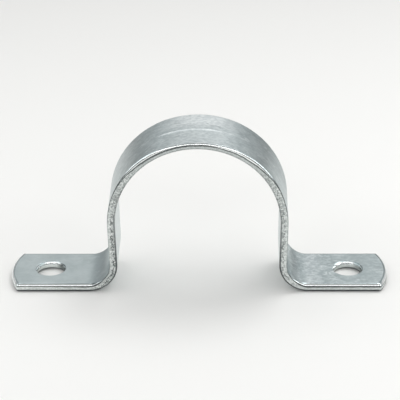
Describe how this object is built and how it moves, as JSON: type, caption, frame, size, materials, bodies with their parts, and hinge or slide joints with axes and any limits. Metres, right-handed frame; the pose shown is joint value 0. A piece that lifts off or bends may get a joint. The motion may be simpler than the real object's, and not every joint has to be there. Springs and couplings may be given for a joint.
{
  "type": "conduit strap",
  "caption": "Pressed steel strap: a deep arch grips a round conduit from outside, and its flat feet screw to the wall.",
  "frame": {"origin": "on the wall side of the feet, midway between the two screw holes", "axes": "+X from hole to hole, +Y along the conduit, +Z away from the wall"},
  "size_m": [0.0988, 0.0176, 0.0427],
  "materials": {
    "zinc_plated_steel": "satin zinc plate, slightly blue"
  },
  "bodies": {
    "root": {"conduit_strap": "zinc_plated_steel"}
  },
  "joints": []
}
